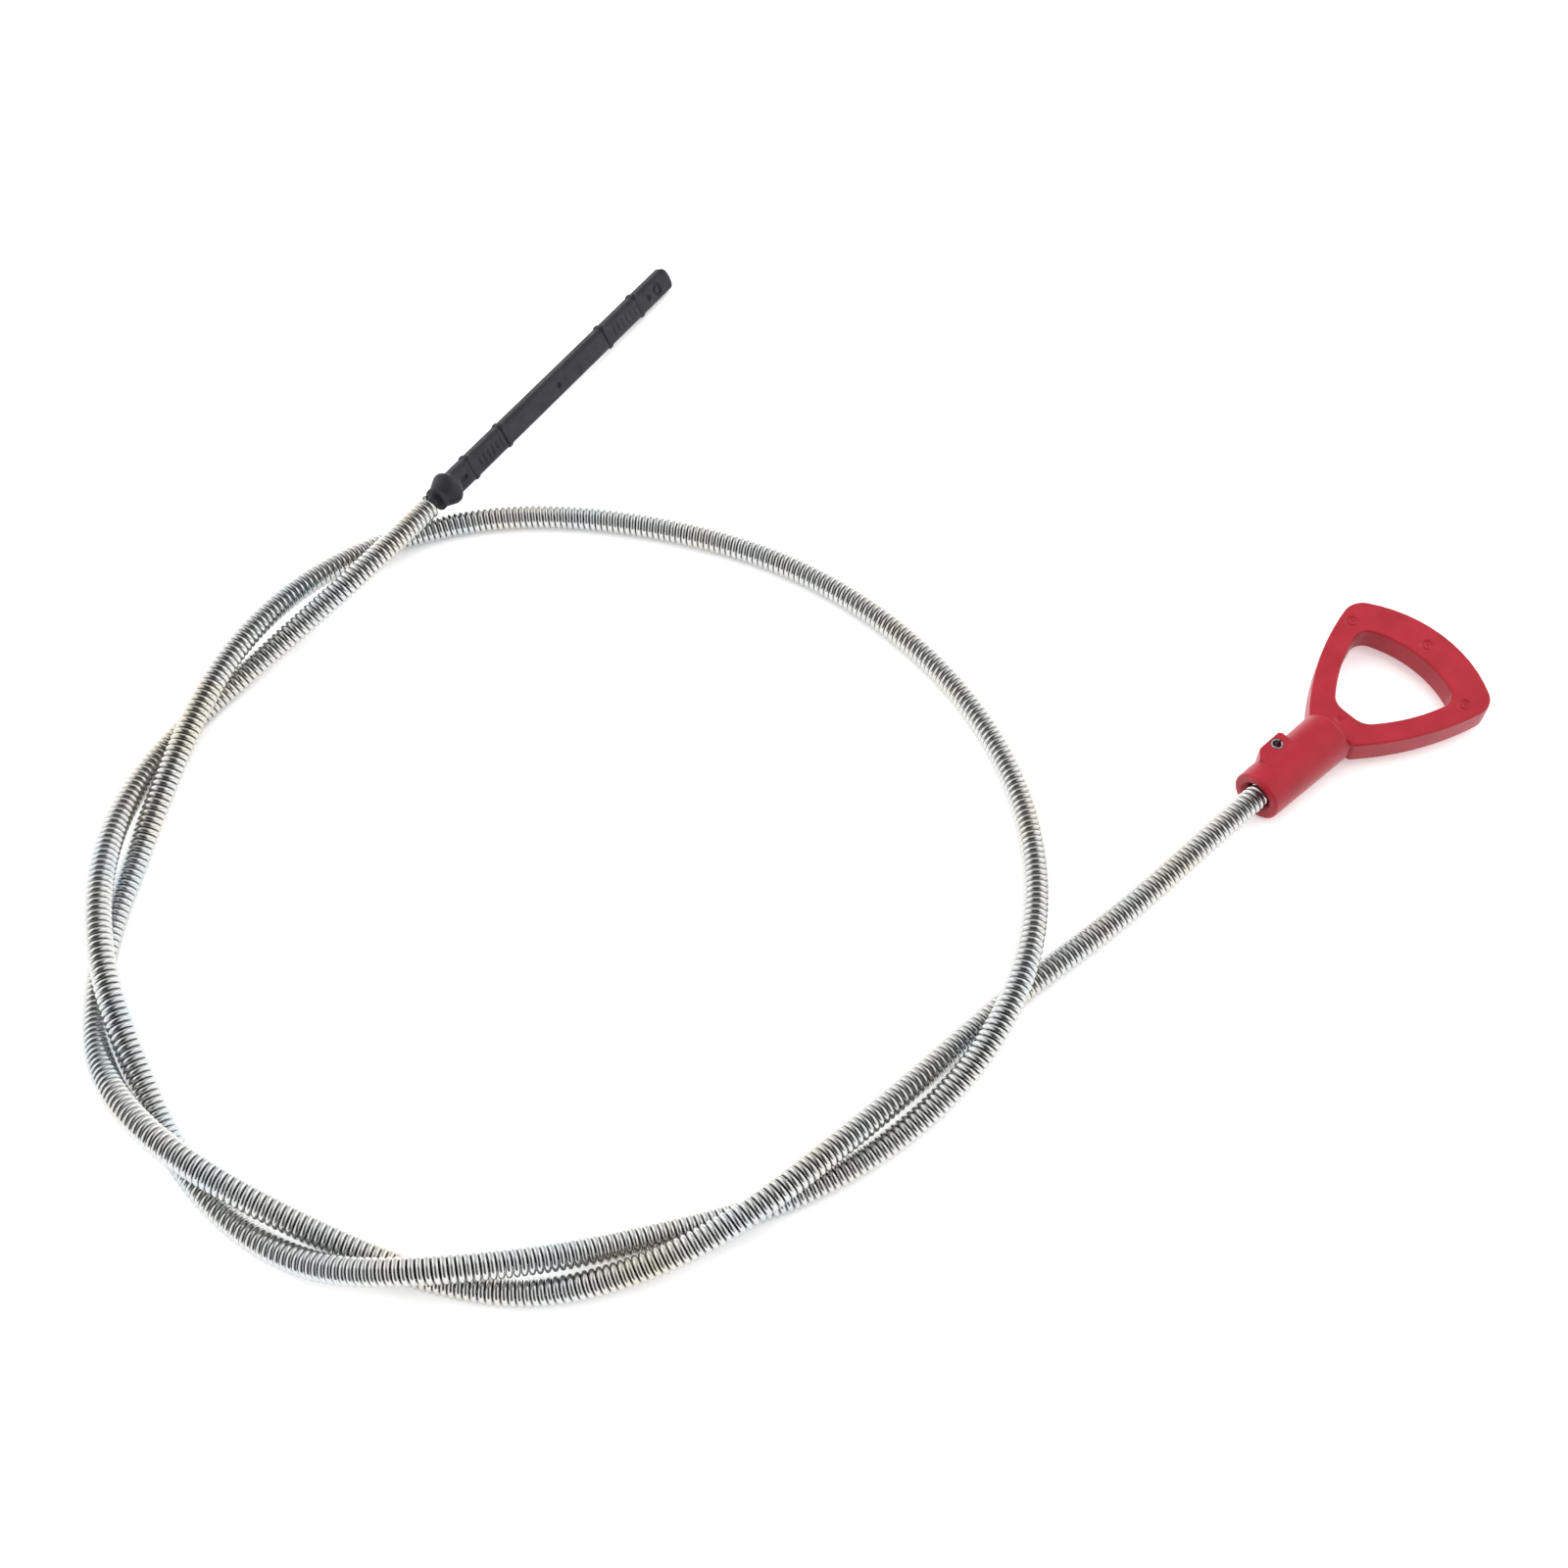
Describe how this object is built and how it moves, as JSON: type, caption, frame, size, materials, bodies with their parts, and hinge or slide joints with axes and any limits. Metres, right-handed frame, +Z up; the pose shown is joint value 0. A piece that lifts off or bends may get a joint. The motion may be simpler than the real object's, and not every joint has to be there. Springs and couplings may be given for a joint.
{
  "type": "flexible fluid level gauge",
  "caption": "Flexible level gauge: a red ring-pull handle, a long close-wound spring shaft laid in loops and a black level blade with raised marks on a flanged guide collar.",
  "frame": {"origin": "under the middle of the pull handle, on the plane the gauge lies on", "axes": "+X along the handle from the mouth of its boss to the crown of its grip, +Z up out of the plane it lies on"},
  "size_m": [0.294, 0.24, 0.0142],
  "materials": {
    "handle": "moulded red plastic, lightly polished",
    "pin": "rolled spring steel, plain",
    "spring": "bright plated spring wire",
    "rope": "stranded steel wire",
    "rope_fittings": "swaged steel",
    "blade": "moulded black plastic, matte"
  },
  "bodies": {
    "root": {"pull_handle": "handle", "retaining_pin": "pin", "spring_shaft": "spring", "core_rope": "rope", "core_end_plug": "rope_fittings", "blade_anchor": "rope_fittings", "level_blade": "blade"}
  },
  "joints": []
}
